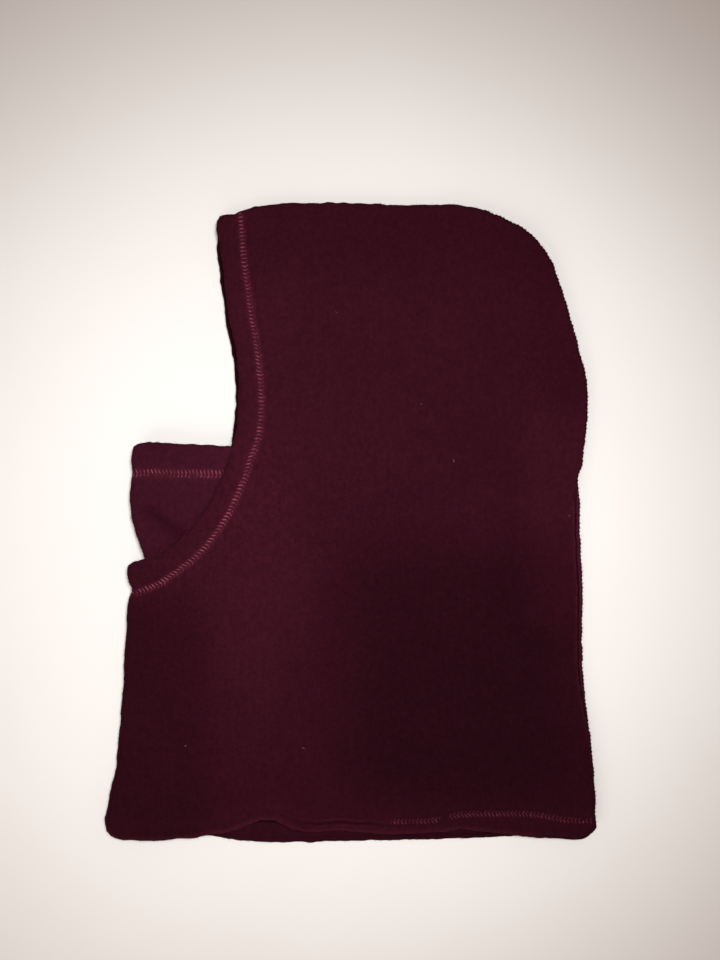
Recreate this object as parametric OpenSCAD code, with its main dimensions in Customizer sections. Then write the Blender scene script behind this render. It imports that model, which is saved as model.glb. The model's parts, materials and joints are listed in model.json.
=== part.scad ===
// Fleece balaclava lying flat on its right side.
// +X runs from the face opening to the back of the head, +Y from the neck to the crown, +Z up from the table.
// The hood is one folded piece of cloth, drawn as a flat right side with an arched left side over it.
// The face mask is a second, folded piece between them. It turns on two thread tacks, to pull down.

/* [Hood] */
// Width laid flat, front of the neck hem to its back
flat_w = 280; // [250:5:300]
// Height laid flat, neck hem to crown
flat_h = 362; // [330:2:390]
// Thickness of one layer of fleece
cloth_t = 2; // [1.8:0.1:2.1]
// Height at which the folds and the back seam round over
edge_h = 12.6; // [12.4:0.1:13]
// Extra rise of the left side over the middle of the head
dome_h = 1; // [0:0.5:5]

/* [Hems and seam] */
// Width of the turned hems of the face opening and the mask
hem_w = 20; // [16:1:22]
// Width of the turned hem of the neck opening
neck_hem_w = 13; // [10:1:22]
// Width of the cover stitch
stitch_w = 7; // [5:0.5:8]
// Width of the seam allowance inside the back seam
seam_w = 6; // [5:0.5:8]

/* [Face mask] */
// Air between the layers that slide over each other
layer_gap = 0.4; // [0.3:0.1:0.5]
// Radius of the thread tacks that it turns on
tack_r = 3; // [2:0.5:4]

/* [Hidden] */
$fn = 48;
ref_w = 280;         // the outlines below are drawn at this width and height
ref_h = 362;
thread_h = 0.4;      // thickness of a thread band
thread_sink = 0.2;   // how far a thread band sinks into the pile
mask_thread_sink = 0.3;
needle_w = 0.6;      // width of one needle thread line
hem_gap = 0.3;       // between the arched left side and the hem turned under it
mask_gap = 0.6;      // between the mask and the left side's hem
roll_w = 6;          // width over which a fold or the seam rounds over
lip_h = 0.6;         // least height of the arched side's outer rim
slope_w = [14, 34];  // width of the slope behind the rounded edge: at the top of the throat, elsewhere
tack_gap = 0.05;     // between a tack and the mask, so that the mask turns
mask_thin = 3.6;     // how much thinner the mask is at its hidden lower edge
mask_full_r = 84;    // the mask keeps its full thickness out to this distance from the tacks
mask_taper = 12;     // and thins over this distance
steps = 6;           // points in each span of a curve
across = 30;         // cells of the arched side, front to back
along = 48;          // and neck to crown

// The stack, upwards: right side, its hem, mask with its hem inside, left side's hem, left side.
mask_z = 2 * cloth_t + layer_gap;
mask_h = 4 * cloth_t + 2 * layer_gap;
mask_top_z = mask_z + mask_h;
inner_h = mask_top_z + mask_gap + cloth_t + hem_gap;
hood_h = inner_h + cloth_t;

function sized(points) = [for (p = points) [p.x * flat_w / ref_w, p.y * flat_h / ref_h]];

// Outline curves, each through a few points and drawn upwards, or from front to back.
neck_front = [-138, -176];
throat_top = [-127, -31];
crown_front = [-74, 174];
crown_back = [77, 177];
neck_back = [137, -176];
throat_pts = sized([neck_front, [-140, -166], [-135, -142], [-131, -105], [-128, -68], [-127, -46],
                    [-124, -38], throat_top]);
face_pts = sized([throat_top, [-121, -24], [-104, -14], [-88, 2], [-72, 28], [-65, 55], [-66, 92], [-72, 132],
                  [-76, 165], crown_front]);
crown_pts = sized([crown_front, [-62, 175], [-46, 179], [-5, 181], [32, 179], [60, 180], crown_back]);
back_pts = sized([neck_back, [140, -160], [135, -115], [131, -62], [130, 18], [132, 34], [135, 68], [130, 97],
                  [120, 140], [102, 164], crown_back]);
neck_left_pts = sized([neck_front, [-128, -180.7], [-96, -180], [-66, -173], [-48, -169], [-18, -175],
                       [30, -175], [68, -174], [100, -178], [124, -180.7], neck_back]);
neck_right_pts = sized([neck_front, [-128, -180.7], [-80, -179], [-30, -181], [50, -181], [124, -180.7],
                        neck_back]);
tack = sized([[-41, 30]])[0];

function clamp01(t) = min(1, max(0, t));
function smooth(t) = let (c = clamp01(t)) c * c * (3 - 2 * c);
function mix(a, b, t) = a * (1 - t) + b * t;
function round_rise(t) = let (c = clamp01(t)) sqrt(1 - (1 - c) * (1 - c));

// Catmull-Rom curve through p.
function curve(p) = let (n = len(p) - 1) concat(
    [for (i = [0:n - 1], k = [0:steps - 1])
        let (t = k / steps, a = p[max(0, i - 1)], b = p[i], c = p[i + 1], d = p[min(n, i + 2)])
        (2 * b + (c - a) * t + (2 * a - 5 * b + 4 * c - d) * t ^ 2 + (3 * b - a - 3 * c + d) * t ^ 3) / 2],
    [p[n]]);

// Running length at each point of a curve, as a share of the whole.
function sums(c, i = 1, total = 0) = i >= len(c) ? [total]
    : concat([total], sums(c, i + 1, total + norm(c[i] - c[i - 1])));
function shares(c) = let (s = sums(c)) s / s[len(s) - 1];
function at(c, s, t) = [lookup(t, [for (i = [0:len(c) - 1]) [s[i], c[i].x]]),
                        lookup(t, [for (i = [0:len(c) - 1]) [s[i], c[i].y]])];
function reversed(c) = [for (i = [len(c) - 1:-1:0]) c[i]];

// The curve moved sideways by d, to the right of its direction.
function beside(c, d) = let (n = len(c) - 1)
    [for (i = [0:n]) let (v = c[min(n, i + 1)] - c[max(0, i - 1)]) c[i] + d * [v.y, -v.x] / norm(v)];
// The part of a curve between two shares of its length.
function part_of(c, from, to) = let (s = shares(c), n = len(c))
    [for (i = [0:n]) at(c, s, mix(from, to, i / n))];

throat = curve(throat_pts);
face = curve(face_pts);
crown = curve(crown_pts);
back = curve(back_pts);
neck_left = curve(neck_left_pts);
neck_right = curve(neck_right_pts);
front_side = concat(throat, [for (i = [1:len(face) - 1]) face[i]]);

function to_segment(p, a, b) = let (v = b - a, t = clamp01((p - a) * v / (v * v))) norm(p - a - t * v);
function to_curve(p, c) = min([for (i = [1:len(c) - 1]) to_segment(p, c[i - 1], c[i])]);
function to_closed(p) = min(to_curve(p, throat), to_curve(p, crown), to_curve(p, back));
function to_open(p) = min(to_curve(p, face), to_curve(p, neck_left));

// Height of the arched left side: its outer face, and its inner face above the right side.
function slope(p, d) = let (w = mix(slope_w[0], slope_w[1], smooth((norm(p - face[0]) - 30) / 50)))
    (hood_h - edge_h) * smooth(d / w);
function dome(p, d) = dome_h * smooth((min(d, to_open(p)) - 26) / 60);
function outer_z(p, d) = cloth_t + lip_h + (edge_h - cloth_t - lip_h) * round_rise(d / roll_w)
    + slope(p, d) + dome(p, d);
function inner_z(p, d) = d <= cloth_t ? cloth_t
    : cloth_t + (edge_h - 2 * cloth_t) * round_rise((d - cloth_t) / (roll_w - cloth_t)) + slope(p, d)
    + dome(p, d);

// A closed solid between two grids of points, upper[i][j] over lower[i][j].
module sheet(upper, lower) {
    rows = len(upper);
    cols = len(upper[0]);
    count = rows * cols;
    function id(i, j) = i * cols + j;
    function quad(a, b, c, d) = [[a, b, c], [a, c, d]];
    top = [for (i = [0:rows - 2], j = [0:cols - 2])
        each quad(id(i, j), id(i, j + 1), id(i + 1, j + 1), id(i + 1, j))];
    bottom = [for (f = top) [f[0] + count, f[2] + count, f[1] + count]];
    rim = concat([for (j = [0:cols - 2]) id(0, j)], [for (i = [0:rows - 2]) id(i, cols - 1)],
                 [for (j = [cols - 1:-1:1]) id(rows - 1, j)], [for (i = [rows - 1:-1:1]) id(i, 0)]);
    sides = [for (k = [0:len(rim) - 1]) let (a = rim[k], b = rim[(k + 1) % len(rim)])
        each quad(b, a, a + count, b + count)];
    polyhedron(concat([for (r = upper) each r], [for (r = lower) each r]), concat(top, bottom, sides),
               convexity = 6);
}

// A flat strip beside a curve, between two distances from it.
module strip(c, from, to, z, h) {
    translate([0, 0, z])
        linear_extrude(h)
            polygon(concat(beside(c, from), reversed(beside(c, to))));
}

// A strip that follows the arched side: under its inner face or on its outer one.
module arched_strip(c, from, to, top, bottom, cells = 3, inside = true) {
    edges = [for (k = [0:cells]) beside(c, mix(max(from, to), min(from, to), k / cells))];
    points = [for (i = [0:len(c) - 1]) [for (k = [0:cells]) edges[k][i]]];
    heights = [for (r = points) [for (p = r) let (d = to_closed(p)) inside ? inner_z(p, d) : outer_z(p, d)]];
    sheet([for (i = [0:len(points) - 1]) [for (k = [0:cells])
              [points[i][k].x, points[i][k].y, heights[i][k] + top]]],
          [for (i = [0:len(points) - 1]) [for (k = [0:cells])
              [points[i][k].x, points[i][k].y, heights[i][k] + bottom]]]);
}

// Coons patch: the arched side's grid of plan points, from its four edges.
function patch() = let (sf = shares(front_side), sb = shares(back), sn = shares(neck_left), sc = shares(crown))
    [for (i = [0:along]) let (v = mix(i / along, (1 - cos(180 * i / along)) / 2, 0.6))
        let (f = at(front_side, sf, v), b = at(back, sb, v))
        [for (k = [across:-1:0]) let (u = (1 - cos(180 * k / across)) / 2)
            let (n = at(neck_left, sn, u), c = at(crown, sc, u))
            mix(f, b, u) + mix(n, c, v)
            - mix(mix(neck_left[0], neck_left[len(neck_left) - 1], u),
                  mix(crown[0], crown[len(crown) - 1], u), v)]];

cloth = [0.22, 0.05, 0.09];
thread = [0.48, 0.20, 0.27];

module left_side_panel() {
    plan = patch();
    far = [for (r = plan) [for (p = r) to_closed(p)]];
    color(cloth)
        sheet([for (i = [0:along]) [for (k = [0:across])
                  [plan[i][k].x, plan[i][k].y, outer_z(plan[i][k], far[i][k])]]],
              [for (i = [0:along]) [for (k = [0:across])
                  [plan[i][k].x, plan[i][k].y, inner_z(plan[i][k], far[i][k])]]]);
}

module right_side_panel() {
    color(cloth)
        linear_extrude(cloth_t)
            polygon(concat(front_side, crown, reversed(back), reversed(neck_right)));
}

// Stretches of the openings' edges that the turned hems follow, short of the folds.
face_left = part_of(face, 0.05, 0.97);
face_right = part_of(face, 0.03, 0.98);
neck_left_hem = part_of(neck_left, 0.05, 0.95);
neck_right_hem = part_of(neck_right, 0.03, 0.97);

module face_hem_left() {
    color(cloth) arched_strip(face_left, 1, hem_w, -hem_gap, -hem_gap - cloth_t);
}
module face_hem_right() {
    color(cloth) strip(face_right, 0.5, hem_w, cloth_t, cloth_t);
}
module neck_hem_left() {
    color(cloth) arched_strip(neck_left_hem, -1, -neck_hem_w, -hem_gap, -hem_gap - cloth_t);
}
module neck_hem_right() {
    color(cloth) strip(neck_right_hem, -0.5, -neck_hem_w, cloth_t, cloth_t);
}

// The cover stitch ends at the hem's raw edge. Its cover thread lies on the outside of both layers, and its
// needle threads pass through cloth and hem. A negative width lies to the left of the curve.
module cover_thread(left, right, width) {
    from = width - sign(width) * stitch_w;
    color(thread) {
        arched_strip(left, from, width, thread_h - thread_sink, -thread_sink, 2, false);
        strip(right, from, width, 0, thread_h);
    }
}
module needle_threads(left, right, width) {
    way = sign(width);
    color(thread)
        for (from = [width - way * (stitch_w - 1), width - way * (1 + needle_w)]) {
            arched_strip(left, from, from + way * needle_w, thread_sink, -hem_gap - cloth_t - thread_sink, 1);
            strip(right, from, from + way * needle_w, thread_h, 2 * (cloth_t - thread_h));
        }
}
module face_hem_cover_thread() { cover_thread(face_left, face_right, hem_w); }
module face_hem_needle_threads() { needle_threads(face_left, face_right, hem_w); }
module neck_hem_cover_thread() { cover_thread(neck_left_hem, neck_right_hem, -neck_hem_w); }
module neck_hem_needle_threads() { needle_threads(neck_left_hem, neck_right_hem, -neck_hem_w); }

// Back seam: two plies of allowance inside the edge, and the overlock thread round their raw edge.
seam_line = part_of(back, 0.06, 0.97);
seam_in = 3;         // the seam lies this far inside the back edge
overlock_w = 0.8;
module back_seam_allowance_right() {
    color(cloth) strip(seam_line, -seam_in, -seam_in - seam_w, cloth_t, cloth_t);
}
module back_seam_allowance_left() {
    color(cloth) strip(seam_line, -seam_in - 1, -seam_in - seam_w, 2 * cloth_t, cloth_t);
}
module back_seam_overlock_thread() {
    color(thread) strip(seam_line, -seam_in - seam_w, -seam_in - seam_w - overlock_w, cloth_t, 2 * cloth_t);
}

// Mask: one piece folded at the front, its two halves between the hood's sides.
mask_front_pts = sized([[-97, -62], [-108, -52], [-114, -38], [-117, -21], [-123, -4], [-126, 12], [-125, 29],
                        [-124, 38], [-119, 44]]);
mask_back_pts = sized([[-70, -66], [-54, -58], [-42, -40], [-36, -15], [-34, 5], [-33, 20], [-33, 30],
                       [-33, 38], [-34, 41]]);
mask_front = curve(mask_front_pts);
mask_back = curve(mask_back_pts);
fold_r = mask_h / 2;
fold_steps = 8;
half_steps = 7;
function mask_half_h(p) = fold_r - mask_thin / 2 * smooth((norm(p - tack) - mask_full_r) / mask_taper);
// Sections across the mask: along the lower half, round the fold and back along the upper half.
function mask_section(f, b, t) = concat(
    [for (k = [0:half_steps - 1]) let (p = mix(b, f + [fold_r, 0], k / half_steps))
        [p.x, p.y, mask_z + t]],
    [for (k = [0:fold_steps]) let (a = 180 * k / fold_steps, c = f + [fold_r, 0], r = mask_half_h(c))
        [c.x - (fold_r - t) * sin(a), c.y, mask_z + r - (r - t) * cos(a)]],
    [for (k = [half_steps - 1:-1:0]) let (p = mix(b, f + [fold_r, 0], k / half_steps))
        [p.x, p.y, mask_z + 2 * mask_half_h(p) - t]]);

module mask_panel() {
    n = len(mask_front) - 1;
    color(cloth)
        sheet([for (i = [0:n]) mask_section(mask_front[i], mask_back[i], cloth_t)],
              [for (i = [0:n]) mask_section(mask_front[i], mask_back[i], 0)]);
}

// The mask's top edge, from front to back, and the hem turned inside it.
mask_top = [for (t = [0:0.1:1]) mix(mask_front_pts[8] + [fold_r + 4, 0], mask_back_pts[8] - [1, 0], t)];
module mask_hem_right() {
    color(cloth) strip(mask_top, 1, hem_w, mask_z + cloth_t, cloth_t);
}
module mask_hem_left() {
    color(cloth) strip(mask_top, 1, hem_w, mask_top_z - 2 * cloth_t, cloth_t);
}
mask_top_stitched = part_of(mask_top, 0, 0.88);   // the stitch stops short of the tacks
needle_h = 2 * (cloth_t - thread_h);
module mask_hem_cover_thread() {
    color(thread)
        for (z = [mask_z - thread_h + mask_thread_sink, mask_top_z - mask_thread_sink])
            strip(mask_top_stitched, hem_w - stitch_w, hem_w, z, thread_h);
}
module mask_hem_needle_threads() {
    color(thread)
        for (from = [hem_w - stitch_w + 1, hem_w - 1 - needle_w],
             z = [mask_z + thread_h, mask_top_z - thread_h - needle_h])
            strip(mask_top_stitched, from, from + needle_w, z, needle_h);
}
module mask_edge_overlock_thread() {
    edge = part_of(mask_back, 0.05, 0.75);
    color(thread)
        for (z = [mask_z, mask_top_z - cloth_t])
            strip(edge, 0, overlock_w, z, cloth_t);
}

// Thread tacks that hold the mask's upper corners to the hood's sides, on one axis.
module mask_tack_right() {
    color(thread)
        translate([tack.x, tack.y, cloth_t])
            cylinder(r = tack_r, h = mask_z - tack_gap - cloth_t);
}
module mask_tack_left() {
    color(thread)
        translate([tack.x, tack.y, mask_top_z + tack_gap])
            cylinder(r = tack_r, h = inner_h + thread_sink - mask_top_z - tack_gap);
}

left_side_panel();
right_side_panel();
face_hem_left();
face_hem_right();
neck_hem_left();
neck_hem_right();
face_hem_cover_thread();
face_hem_needle_threads();
neck_hem_cover_thread();
neck_hem_needle_threads();
back_seam_allowance_left();
back_seam_allowance_right();
back_seam_overlock_thread();
mask_tack_left();
mask_tack_right();
mask_panel();
mask_hem_left();
mask_hem_right();
mask_hem_cover_thread();
mask_hem_needle_threads();
mask_edge_overlock_thread();
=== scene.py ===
"""A fleece balaclava that lies flat on its right side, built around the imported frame.

Shapes are worked out in millimetres in the row frame: X runs from the face opening to the back of the head,
Y from the neck to the crown, Z up from the table. They are scaled to metres as each mesh is made.
"""

import json
import math

import bmesh
import bpy
import numpy as np
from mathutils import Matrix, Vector
from mathutils.geometry import delaunay_2d_cdt
from mathutils.kdtree import KDTree


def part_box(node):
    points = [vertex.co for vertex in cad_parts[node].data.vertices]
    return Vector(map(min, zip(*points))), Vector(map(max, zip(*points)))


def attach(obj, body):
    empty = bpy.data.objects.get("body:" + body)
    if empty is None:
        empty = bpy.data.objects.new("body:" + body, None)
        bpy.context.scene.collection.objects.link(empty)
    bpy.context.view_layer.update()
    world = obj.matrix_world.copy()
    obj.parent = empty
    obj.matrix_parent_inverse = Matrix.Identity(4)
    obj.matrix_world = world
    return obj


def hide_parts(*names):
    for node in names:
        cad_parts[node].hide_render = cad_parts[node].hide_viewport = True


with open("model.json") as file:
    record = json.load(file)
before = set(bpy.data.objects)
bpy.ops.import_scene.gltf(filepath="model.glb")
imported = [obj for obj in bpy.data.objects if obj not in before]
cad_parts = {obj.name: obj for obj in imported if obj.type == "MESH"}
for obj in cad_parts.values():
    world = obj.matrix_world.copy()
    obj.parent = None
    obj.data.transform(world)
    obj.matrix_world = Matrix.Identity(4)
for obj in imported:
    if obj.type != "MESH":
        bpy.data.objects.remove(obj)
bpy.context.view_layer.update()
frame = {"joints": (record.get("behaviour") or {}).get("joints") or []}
MM = 0.001

# ---- sizes, mm
CLOTH = 2.1          # thickness of one layer of fleece
FOLD_H = 9.8         # height of the hood at its folds and its back seam
THROAT_H = 12.6      # the same at the top of the throat, where the mask passes
AIR_H = 13.0         # height that the air inside keeps the left side at
ROLL = 4.6           # width over which a fold rounds over
HEM_ROLL = 3.2       # and the edge of a turned hem
SEAM_ROLL = 4        # and the back seam
RAW_ROLL = 0.9       # and a cut edge
SEAM_Z = 4.6         # height of the back seam
SEAM_EASE = 20.0     # length over which the crown's fold turns into it
HEM_W = 20.0         # width of the turned hems of the face opening and the mask
NECK_HEM_W = 13.0    # and of the neck opening
STITCH_W = 6.4       # between the outer needle lines of a cover stitch
NECK_STITCH_W = 4.6  # the same of the neck's, in its groove
PITCH = 2.15         # length of one stitch
THREAD = 0.21        # radius of a thread
STEP = 1.1           # between the points of an outline
GAP = 0.4            # air between the mask and the layers beside it
LINING_GAP = 0.12    # air between a layer and the hem turned in under it
TABLE = 0.1          # height at which the lowest cloth lies
SQUARE = 2.35        # how square a rolled edge is in section; 2 would be round
FOLD_INSET = 4.3     # the right side starts this far inside the folds
HEM_INSET = 1.7      # and a turned hem this far inside its edge
HEM_LOW = 2.15       # lower and upper face of a hem turned in over the layer below it
HEM_HIGH = 4.05
SEAM_PLIES = (2.3, 4.4, 4.55, 6.65)   # faces of the two plies of seam allowance, from below

MASK_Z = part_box("mask_panel")[0].z / MM
MASK_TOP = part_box("mask_panel")[1].z / MM
JOINT = frame["joints"][0]
TACK = np.array(JOINT["pos_m"][:2]) / MM
SWING = JOINT["range_deg"][1]
MASK_FULL_R = 84.0   # the mask is at its full thickness out to here from the tacks
MASK_THIN = 3.6      # and this much thinner beyond

# ---- outlines, mm
NECK_FRONT = (-138.7, -176)
THROAT_TOP = (-126.9, -29.5)
CROWN_FRONT = (-74.6, 173.3)
CROWN_BACK = (78, 177)
NECK_BACK = (139.4, -174)
THROAT = [NECK_FRONT, (-139.8, -170), (-137.4, -156), (-133.9, -140), (-130.6, -110), (-128.7, -80),
          (-127.3, -58), (-126.4, -45), (-124.3, -38.6), (-125.9, -34.5), THROAT_TOP]
FACE = [THROAT_TOP, (-125.8, -25), (-122.8, -22.6), (-116.6, -21), (-103, -14.5), (-87, 0), (-74, 22),
        (-67.5, 42), (-64.8, 68), (-66, 92), (-70, 112), (-74, 142), (-76.6, 166), CROWN_FRONT]
CROWN = [CROWN_FRONT, (-70.5, 174.9), (-66.6, 175), (-64.6, 175.9), (-60, 177.5), (-53, 179.2), (-36, 181.2),
         (0, 181.2), (31, 180), (60, 180.2), CROWN_BACK]
BACK = [CROWN_BACK, (99, 166), (112, 152), (120.4, 131), (127.5, 107), (133.4, 85), (135.2, 66), (133.5, 46),
        (131.9, 33), (129.8, 26.5), (129.3, 21), (130.7, 15), (131.3, 6), (131.8, -20), (133, -40),
        (132.6, -66), (133, -86), (135, -105), (138.5, -135), (140.4, -161), (140, -166), (140.2, -170),
        NECK_BACK]
NECK = [NECK_BACK, (137.4, -177.3), (133.2, -179.7), (127.5, -180.8), (113, -179.8), (95, -178.2),
        (79.5, -176), (62, -174.4), (51, -175.6), (29, -177), (12, -176.2), (-6, -174.6), (-20, -175.6),
        (-29, -174.8), (-37.5, -171.4), (-44.5, -168.4), (-51.5, -168.6), (-66, -174.4), (-86, -178.6),
        (-110, -181.1), (-122.4, -181), (-132.6, -180.1), NECK_FRONT]
NECK_RIGHT = [NECK_BACK, (137.6, -176.6), (133.6, -179), (127, -179.9), (104, -179.8), (80, -181),
              (60, -181.8), (10, -182.9), (-36, -184), (-62, -183), (-84, -179.4), (-108, -177.6),
              (-128, -177.4), NECK_FRONT]

MASK_FRONT = [(-96, -62), (-108, -52), (-114, -38), (-117, -21), (-122, -6), (-125.2, 12), (-123.6, 27),
              (-124.4, 36), (-122.6, 42.4)]
MASK_HEM = [(-122.6, 42.4), (-118, 44.4), (-108, 44.6), (-86, 43.4), (-60, 42.2), (-34, 41)]
MASK_BACK = [(-34, 41), (-33, 30), (-34, 5), (-36, -15), (-42, -40), (-54, -58), (-74, -66), (-96, -62)]

# Middles of the cover stitches, from edge to edge of the cloth
FACE_STITCH = [(-125.4, -40.4), (-120, -38.8), (-109, -34.6), (-97, -27), (-87, -18.6), (-78.6, -9.5),
               (-69, 5), (-61.6, 21), (-56, 37), (-52.2, 50), (-50.8, 71), (-53, 99), (-57, 123),
               (-60.5, 147), (-61.6, 162), (-62.8, 175.6)]
NECK_STITCH = [(138.6, -170.6), (126, -170.2), (114, -168.6), (104, -166.9), (90, -166.3), (75, -166.2),
               (61, -166.8), (50, -169.6), (38, -170.6), (27, -170.6), (8, -169), (-8, -167.4), (-24, -167.4),
               (-38, -163.4), (-50, -161.2), (-64, -165.6), (-84, -170.4), (-110, -173), (-130, -173.6),
               (-138.6, -172.6)]
MASK_STITCH = [(-124, 27.2), (-112, 27.6), (-96, 27.2), (-80, 27), (-60, 26.4), (-44, 25.6)]


# ---- curves
def run_of(line):
    """Distance along a line at each of its points."""
    return np.concatenate([[0], np.cumsum(np.linalg.norm(np.diff(line, axis=0), axis=1))])


def resample(line, step):
    """The same line in even steps."""
    run = run_of(line)
    count = max(2, int(round(run[-1] / step)))
    at = np.linspace(0, run[-1], count + 1)
    return np.column_stack([np.interp(at, run, line[:, k]) for k in range(line.shape[1])])


def curve(points):
    """A Catmull-Rom curve through points, in even steps."""
    p = np.array(points, float)
    padded = np.vstack([p[:1], p, p[-1:]])
    t = np.linspace(0, 1, 24, endpoint=False)[:, None]
    spans = []
    for i in range(len(p) - 1):
        a, b, c, d = padded[i:i + 4]
        spans.append((2 * b + (c - a) * t + (2 * a - 5 * b + 4 * c - d) * t**2
                      + (3 * b - a - 3 * c + d) * t**3) / 2)
    return resample(np.vstack(spans + [p[-1:]]), STEP)


def normals(line, closed=False):
    """Unit vectors to the right of a line's direction."""
    if closed:
        along = np.roll(line, -2, 0) - np.roll(line, 2, 0)
    else:
        along = np.gradient(line, axis=0)
    along /= np.linalg.norm(along, axis=1, keepdims=True)
    return np.column_stack([along[:, 1], -along[:, 0]])


def ahead_of(side):
    """Unit vectors along a line from those to its right."""
    return np.column_stack([-side[:, 1], side[:, 0]])


def beside(line, distance):
    """A line moved to its right, by one distance or one for each point."""
    return line + normals(line) * np.reshape(distance, (-1, 1))


def part(line, start, end):
    """A line without its first start and last end millimetres."""
    run = run_of(line)
    return resample(line[(run >= start) & (run <= run[-1] - end)], 1.2)


def smooth(t):
    """An eased step from 0 to 1."""
    t = np.clip(t, 0, 1)
    return t * t * (3 - 2 * t)


def constant(value):
    """A face or a measure that is the same at every point."""
    return lambda points: np.full(len(points), value)


def hump(values, middle, reach):
    """A bell of height 1 round a middle."""
    return np.exp(-(((values - middle) / reach) ** 2))


def away(points, spot):
    """Distance of each point from a spot."""
    return np.linalg.norm(points - np.array(spot), axis=1)


def blur_loop(values, reach):
    """Averages values that run round a closed loop."""
    kernel = np.hanning(2 * reach + 3)[1:-1]
    kernel /= kernel.sum()
    padded = np.concatenate([values[-reach:], values, values[:reach]])
    return np.convolve(padded, kernel, "valid")


def between(grid, low, high, f):
    """Values of a grid at places between its cells low and high, f of the way from one to the other."""
    x, y = low.T
    x1, y1 = high.T
    fx, fy = f.T
    return ((grid[x, y] * (1 - fx) + grid[x1, y] * fx) * (1 - fy)
            + (grid[x, y1] * (1 - fx) + grid[x1, y1] * fx) * fy)


def noise(points, size, seed):
    """Smooth noise from -1 to 1, with features about size across."""
    cells = 97
    lattice = np.random.default_rng(seed).uniform(-1, 1, (cells, cells))
    q = np.asarray(points)[:, :2] / size + 31.7
    cell = np.floor(q).astype(int)
    return between(lattice, cell % cells, (cell + 1) % cells, smooth(q - cell))


class Near:
    """Distances to a line."""

    def __init__(self, line):
        spots = resample(line, 0.4)
        self.tree = KDTree(len(spots))
        for i, p in enumerate(spots):
            self.tree.insert((p[0], p[1], 0), i)
        self.tree.balance()

    def __call__(self, points):
        return np.array([self.tree.find((p[0], p[1], 0))[2] for p in points])


def inside(points, loop):
    """Whether each point is inside a closed loop."""
    a, b = loop, np.roll(loop, -1, 0)
    found = np.zeros(len(points), bool)
    batch = 4000
    for start in range(0, len(points), batch):
        p = points[start:start + batch]
        crosses = (a[None, :, 1] > p[:, None, 1]) != (b[None, :, 1] > p[:, None, 1])
        slope = (b[:, 0] - a[:, 0]) / np.where(b[:, 1] == a[:, 1], 1e-9, b[:, 1] - a[:, 1])
        x = a[None, :, 0] + (p[:, None, 1] - a[None, :, 1]) * slope[None]
        found[start:start + batch] = (crosses & (p[:, None, 0] < x)).sum(1) % 2 == 1
    return found


# ---- meshes
def placed(name, data):
    """A new object in the scene."""
    holder = bpy.data.objects.new(name, data)
    bpy.context.scene.collection.objects.link(holder)
    return holder


def make(name, points, faces, body, slot, material, replaced=(), shade=None):
    """A mesh object from points in mm, with its faces turned outwards, that rides on a body. shade is the
    tone at each point, of pile or thread: their own tone together with painted light and shade."""
    mesh = bpy.data.meshes.new(name)
    mesh.from_pydata((np.asarray(points) * MM).tolist(), [], [list(f) for f in faces])
    bm = bmesh.new()
    bm.from_mesh(mesh)
    bmesh.ops.recalc_face_normals(bm, faces=bm.faces)
    bm.to_mesh(mesh)
    bm.free()
    mesh.polygons.foreach_set("use_smooth", [True] * len(mesh.polygons))
    if shade is not None:
        mesh.attributes.new("tone_and_painted_light", "FLOAT", "POINT").data.foreach_set("value", shade.astype(np.float32))
    piece = placed(name, mesh)
    mesh.materials.append(material)
    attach(piece, body)
    if replaced:
        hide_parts(*replaced)
    return piece


def even_spots(low, high, spacing):
    """Points in a triangular pattern over a rectangle."""
    rows = np.arange(low[1], high[1], spacing * 0.87)
    spots = []
    for k, y in enumerate(rows):
        x = np.arange(low[0] + (k % 2) * spacing / 2, high[0], spacing)
        spots.append(np.column_stack([x, np.full(len(x), y)]))
    return np.vstack(spots)


def fill(ring, spacing, clear, detail=None):
    """Triangles inside a ring: its own points first, then points in an even pattern, closer together where
    detail says so."""
    fine = 0.85
    low, high = ring.min(0), ring.max(0)
    spots = even_spots(low, high, spacing)
    if detail:
        close = even_spots(low, high, fine)
        spots = np.vstack([spots[~detail(spots)], close[detail(close)]])
        clear = min(clear, 0.7)
    spots = spots[inside(spots, ring)]
    closed = np.vstack([ring, ring[:1]])
    spots = spots[Near(closed)(spots) > clear]
    points = np.vstack([ring, spots])
    count = len(ring)
    edges = [(i, (i + 1) % count) for i in range(count)]
    _, _, faces, origin, _, _ = delaunay_2d_cdt([Vector(p) for p in points], edges, [], 1, 1e-7)
    order = [o[0] for o in origin]
    faces = [[order[i] for i in f] for f in faces]
    return spots, faces


def cross(a, b):
    """Cross products of flat vectors."""
    return a[:, 0] * b[:, 1] - a[:, 1] * b[:, 0]


def untangled(ring):
    """A ring smoothed just where it crosses itself, at tight corners and notches."""
    for _ in range(60):
        a, b = ring, np.roll(ring, -1, 0)
        step = b - a
        crossed = np.zeros(len(ring), bool)
        for shift in range(2, 22):
            c, d = np.roll(a, -shift, 0), np.roll(b, -shift, 0)
            other = d - c
            across = cross(step, other)
            across = np.where(np.abs(across) < 1e-12, 1e-12, across)
            t, v = cross(c - a, other) / across, cross(c - a, step) / across
            hit = (t > -0.01) & (t < 1.01) & (v > -0.01) & (v < 1.01)
            for k in range(-2, shift + 3):
                crossed |= np.roll(hit, k)
        if not crossed.any():
            return ring
        even = (np.roll(ring, 1, 0) + ring + np.roll(ring, -1, 0)) / 3
        ring = np.where(crossed[:, None], even, ring)
    return ring


def loop_rows(first, count, second):
    """Quads between two rings of count points, by the indices at which the rings start."""
    i = np.arange(count)
    j = (i + 1) % count
    return np.column_stack([first + i, first + j, second + j, second + i]).tolist()


def squared(angle):
    """How far out and up a rolled edge is at an angle from its top."""
    out, up = np.sin(angle), np.cos(angle)
    return np.abs(out) ** (2 / SQUARE), np.sign(up) * np.abs(up) ** (2 / SQUARE)


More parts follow.
